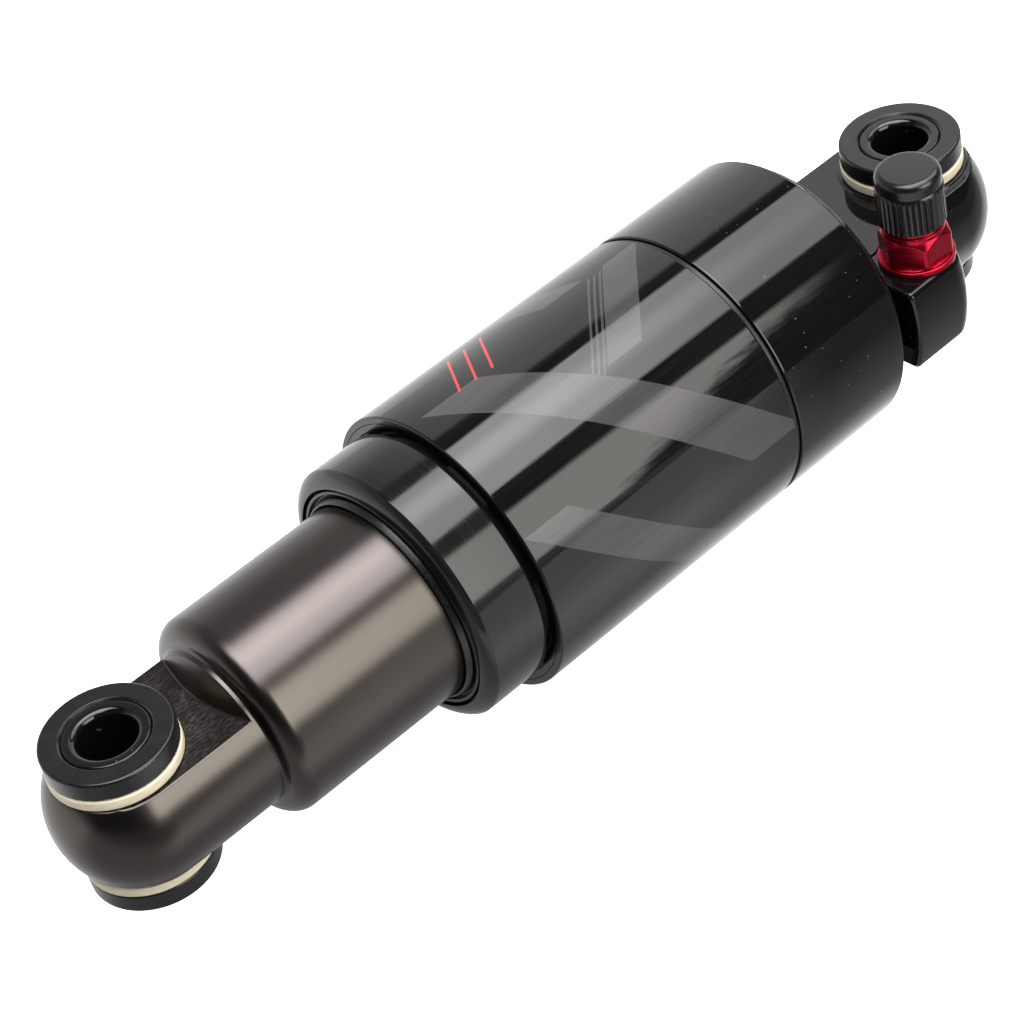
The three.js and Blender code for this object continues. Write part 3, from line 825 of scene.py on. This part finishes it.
def valve_cap(material):
    """Cap with a smooth top and a skirt of fine upright grooves."""
    ribs, per_rib, depth = 38, 10, 0.28
    skirt, roof = CAP_TOP - 2.7, CAP_TOP - 1.6
    top_r, bore_r = CAP_R - 0.15, 3.7

    def knurl(along, angle):
        """How far the grooves of the skirt, or its lower edge, lie below the outline."""
        if along < CAP_BASE + 0.2:
            return -depth / 2
        if along < skirt - 0.1:
            return -depth * max(0.0, math.cos(ribs * angle)) ** 0.6
        return 0

    dome = rounded([(CAP_TOP, 0), (CAP_TOP, top_r, 1.1), (skirt + 0.25, top_r, 0.1)], 8)
    side = [
        (skirt + 0.05, CAP_R - 0.1), (skirt - 0.15, CAP_R), (skirt - 0.5, CAP_R),
        (CAP_BASE + 0.4, CAP_R), (CAP_BASE + 0.25, CAP_R), (CAP_BASE, top_r),
    ]
    hollow = [(CAP_BASE, bore_r), (roof, bore_r), (roof, 0)]
    at = (VALVE_X, VALVE_Y)
    obj = turned("valve_cap_knurled", dome + side + hollow, Z, at, ribs * per_rib, knurl)
    return hand_over(obj, "cap", "cap_plastic", material, "valve_cap")


def valve_coil(material):
    """Wire spring round the valve's pin, built at one length; nothing here shortens it as the pin is pressed.
    """
    turns, coil_r, wire = 4, 1.05, 0.16
    steps, sides = 36, 10
    base, top = low("valve_spring", Z), high("valve_spring", Z)
    sections = []
    for i in range(turns * steps + 1):
        turn = 2 * math.pi * i / steps
        level = base + wire + (top - base - 2 * wire) * i / (turns * steps)
        section = []
        for k in range(sides):
            around = 2 * math.pi * k / sides
            radius = coil_r + wire * math.cos(around)
            y = VALVE_Y + radius * math.sin(turn)
            section.append((VALVE_X + radius * math.cos(turn), y, level + wire * math.sin(around)))
        sections.append(section)
    coil = loft("valve_spring_coil", sections)
    obj = hand_over(coil, "shock_body", "steel", material, "valve_spring")
    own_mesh(obj)
    return obj


# ------------------------------------------------------------ stage, light and camera

def floor():
    """White paper that glows flat white where the camera sees it, which hides its shadow. Other rays see it
    near
    black, with a painted glow: dim, fading away from the shock, and painted bright patches under the body's
    end, on the part behind the shock and on a slanted strip in front of it. Places on it are in metres."""
    bm = bmesh.new()
    half = 3.0
    level = -CAN_R * MM - 0.0002
    bm.faces.new([bm.verts.new((x * half, y * half, level)) for x, y in SQUARE])
    obj = to_object("floor", bm)
    n = Nodes("floor_paper")
    split = n.add("ShaderNodeSeparateXYZ")
    n.link(n.place, split.inputs[0])
    x, y = split.outputs["X"], split.outputs["Y"]
    seen = n.add("ShaderNodeLightPath").outputs["Is Camera Ray"]
    # painted reflection: a dim light that only rays other than the camera's see, fading away from the shock
    far = n.remap(y, 0.035, 0.085, 0.45, 0.16)
    under = n.math("MULTIPLY", n.remap(y, 0.014, 0.026, 1, 0), n.remap(x, 0.055, 0.09, 1, 0))
    behind = n.remap(y, -0.025, 0.0, 1, 0)
    # painted reflection: a bright slanted strip on the floor that stands in for a reflector sheet
    slanted = n.math("ADD", x, n.math("MULTIPLY", y, 0.6))
    painted_strip_span = n.math("MULTIPLY", n.remap(slanted, 0.048, 0.078, 0, 1), n.remap(slanted, 0.17, 0.19, 1, 0))
    painted_strip_patch = n.math("MULTIPLY", n.remap(y, 0.026, 0.042, 0, 1), painted_strip_span)
    bright = n.math("MAXIMUM", n.math("MAXIMUM", under, behind), n.math("MULTIPLY", painted_strip_patch, 1.1))
    glow = n.math("ADD", far, n.math("MULTIPLY", bright, 0.75))
    n.set(Base_Color=n.mix(seen, (0.02, 0.02, 0.02), (0.86, 0.86, 0.86)), Roughness=0.9)
    n.set(Specular_IOR_Level=0.0, Emission_Color=(1.0, 1.0, 1.0))
    n.set(Emission_Strength=n.math("MAXIMUM", glow, seen))
    obj.data.materials.append(n.material)


class Sky(Nodes):
    """The world's nodes. A direction is read as its turn about X, in degrees, and its lean along X."""

    def __init__(self):
        world = bpy.data.worlds.new("studio")
        bpy.context.scene.world = world
        world.use_nodes = True
        self.tree = world.node_tree
        self.shader = self.tree.nodes["Background"]
        self.place = self.add("ShaderNodeTexCoord").outputs["Generated"]
        split = self.add("ShaderNodeSeparateXYZ")
        self.link(self.place, split.inputs[0])
        self.lean = split.outputs["X"]
        radians = self.math("ARCTAN2", split.outputs["Y"], split.outputs["Z"])
        self.turn = self.math("MULTIPLY", radians, 180 / math.pi)

    def step(self, value, first, last):
        """0 up to first, 1 from last, smooth between; the other way round when last is lower."""
        node = self.add("ShaderNodeMapRange", interpolation_type="SMOOTHSTEP")
        self.link(value, node.inputs["Value"])
        rising = last > first
        node.inputs["From Min"].default_value = min(first, last)
        node.inputs["From Max"].default_value = max(first, last)
        node.inputs["To Min"].default_value = 0 if rising else 1
        node.inputs["To Max"].default_value = 1 if rising else 0
        return node.outputs["Result"]

    def between(self, value, first, last, soft):
        """1 between first and last, 0 outside, with edges that are soft to both sides."""
        rise, fall = self.step(value, first - soft, first + soft), self.step(value, last + soft, last - soft)
        return self.math("MULTIPLY", rise, fall)

    def panel(self, strength, turn, lean, soft=2.0, soft_lean=0.02, turn_value=None):
        """A soft-edged bright panel between two turns in degrees and two leans."""
        along = self.between(turn_value or self.turn, *turn, soft)
        across = self.between(self.lean, *lean, soft_lean)
        return self.math("MULTIPLY", strength, self.math("MULTIPLY", along, across))

    def add_light(self, total, value, tint):
        """The light so far plus this value in this tint."""
        light = self.add("ShaderNodeVectorMath", operation="SCALE")
        light.inputs[0].default_value = tint
        self.link(value, light.inputs["Scale"])
        if total is None:
            return light.outputs[0]
        joined = self.add("ShaderNodeVectorMath", operation="ADD")
        self.link(total, joined.inputs[0])
        self.link(light.outputs[0], joined.inputs[1])
        return joined.outputs[0]


NEUTRAL = (1.0, 1.0, 1.0)
LILAC = (1.005, 0.975, 1.015)
CREAM = (1.025, 1.0, 0.92)


def studio():
    """White wall behind, a large panel overhead with a brighter tube, a slanted side panel with a ragged edge
    and a dim strip below it; dark round the camera."""
    sky = Sky()
    open_end = sky.step(sky.lean, -0.345, -0.45)
    low_part = sky.math("MULTIPLY", 0.7, sky.step(sky.turn, -42, -80))
    faded = sky.math("MAXIMUM", open_end, low_part)
    wall_glow = sky.math("ADD", 0.25, sky.math("MULTIPLY", 0.9, faded))
    wall = sky.math("MULTIPLY", wall_glow, sky.panel(1.0, (-200, -30), (-2, 2), 3))

    tilted = sky.math("ADD", sky.turn, sky.remap(sky.lean, -0.50, -0.36, 2, -2))
    overhead_glow = sky.remap(sky.lean, -0.53, -0.44, 3.4, 5.8)
    overhead_shape = sky.panel(1.0, (-17, 29), (-0.86, 0.42), 1.2, 0.06, tilted)
    overhead = sky.math("MULTIPLY", overhead_glow, overhead_shape)
    tube = sky.panel(3.0, (-6, 10), (-0.50, 0.30), 6, 0.10)

    side_low = 86
    slant = sky.remap(sky.lean, -0.515, -0.45, 55, side_low)
    waves = sky.remap(sky.noise((420, 20, 20), 2, 0.6), 0.35, 0.65, -6, 6)
    teeth = sky.math("MULTIPLY", waves, sky.step(sky.lean, -0.44, -0.46))
    ragged = sky.math("ADD", sky.turn, sky.math("ADD", teeth, sky.math("SUBTRACT", side_low, slant)))
    side_shape = sky.panel(1.0, (-40, side_low), (-0.53, 0.10), 1.5, 0.02, ragged)
    side = sky.math("MULTIPLY", sky.step(sky.turn, 44, 48), side_shape)
    side = sky.math("MULTIPLY", side, sky.remap(sky.lean, -0.42, -0.37, 4.0, 5.2))
    horizon = sky.panel(0.4, (87, 100), (-0.49, 0.10), 1, 0.02)

    total = None
    for value, tint in (
        (0.04, NEUTRAL), (wall, NEUTRAL), (overhead, LILAC), (tube, LILAC), (side, CREAM), (horizon, CREAM),
    ):
        total = sky.add_light(total, value, tint)
    sky.link(total, sky.shader.inputs["Color"])


def camera():
    """Long lens from above the shaft's end, rolled a little."""
    data = bpy.data.cameras.new("camera")
    data.lens = 99.04
    data.sensor_width = 36
    data.clip_start = 0.01
    cam = bpy.data.objects.new("camera", data)
    at = Vector((0.24605, 0.24622, 0.2522))
    aim = Vector((0.083, 0.00053, -0.00052))
    look = (aim - at).to_track_quat("-Z", "Y").to_matrix().to_4x4()
    roll = Matrix.Rotation(math.radians(-14.18), 4, "Z")
    cam.matrix_world = Matrix.Translation(at) @ look @ roll
    bpy.context.scene.collection.objects.link(cam)
    bpy.context.scene.camera = cam


# ------------------------------------------------------------ everything together

def keep_cad(nodes, slots, looks):
    """CAD nodes that stay as they are get the material of their slot."""
    for row in frame["record"]["subparts"]:
        node, slot = row["node"], row["material_slot"]
        if node in nodes and slot in slots:
            mesh = nodes[node].data
            mesh.materials.clear()
            mesh.materials.append(looks[slots[slot]])


def main():
    """Materials first, then camera, light, floor, and the pieces."""
    bpy.context.scene.view_settings.view_transform = "Standard"
    looks = {
        "gloss": gloss_black(), "sleeve": sleeve_black(), "satin": satin_black(), "gunmetal": gunmetal(),
        "milled": milled_gunmetal(), "spacer": spacer_black(), "cream": cream_plastic(),
        "red": red_anodised(), "cap": cap_plastic(), "rubber": rubber(),
        "bare": metal("bare_aluminium", (0.55, 0.56, 0.58), (0.72, 0.73, 0.75), 0.3, (4000, 80, 80)),
        "steel": metal("ground_steel", (0.42, 0.42, 0.43), (0.6, 0.6, 0.61), 0.24, (5000, 90, 90)),
        "brass": metal("turned_brass", (0.5, 0.34, 0.12), (0.68, 0.5, 0.2), 0.28, (90, 90, 5000)),
        "bronze": metal("bearing_bronze", (0.36, 0.24, 0.13), (0.52, 0.37, 0.22), 0.4, (900, 900, 900)),
        "plastic": moulded("black_plastic", (0.01, 0.01, 0.011), (0.02, 0.02, 0.021), 0.5),
        "urethane": moulded("amber_urethane", (0.42, 0.24, 0.05), (0.6, 0.38, 0.1), 0.5),
    }
    camera()
    studio()
    floor()
    keep_cad(frame["nodes"], {
        "black_gloss": "gloss", "black_graphic": "sleeve", "black_satin": "satin", "gunmetal": "gunmetal",
        "red_anodised": "red", "bare_aluminium": "bare", "steel": "steel", "brass": "brass",
        "bronze": "bronze", "cream_plastic": "cream", "black_plastic": "plastic", "cap_plastic": "cap",
        "urethane": "urethane", "rubber": "rubber",
    }, looks)
    air_can(looks["gloss"])
    outer_sleeve(looks["sleeve"])
    seam_ring(looks["rubber"])
    seal_head(looks["satin"])
    dust_wiper(looks["rubber"])
    body_end(looks["gloss"])
    shaft(looks["gunmetal"], looks["milled"])
    hardware("body", "body_hardware", BODY_EYE_X, looks)
    hardware("shaft", "shaft_hardware", SHAFT_EYE_X, looks)
    valve_nut(looks["red"])
    valve_cap(looks["cap"])
    valve_coil(looks["steel"])


main()
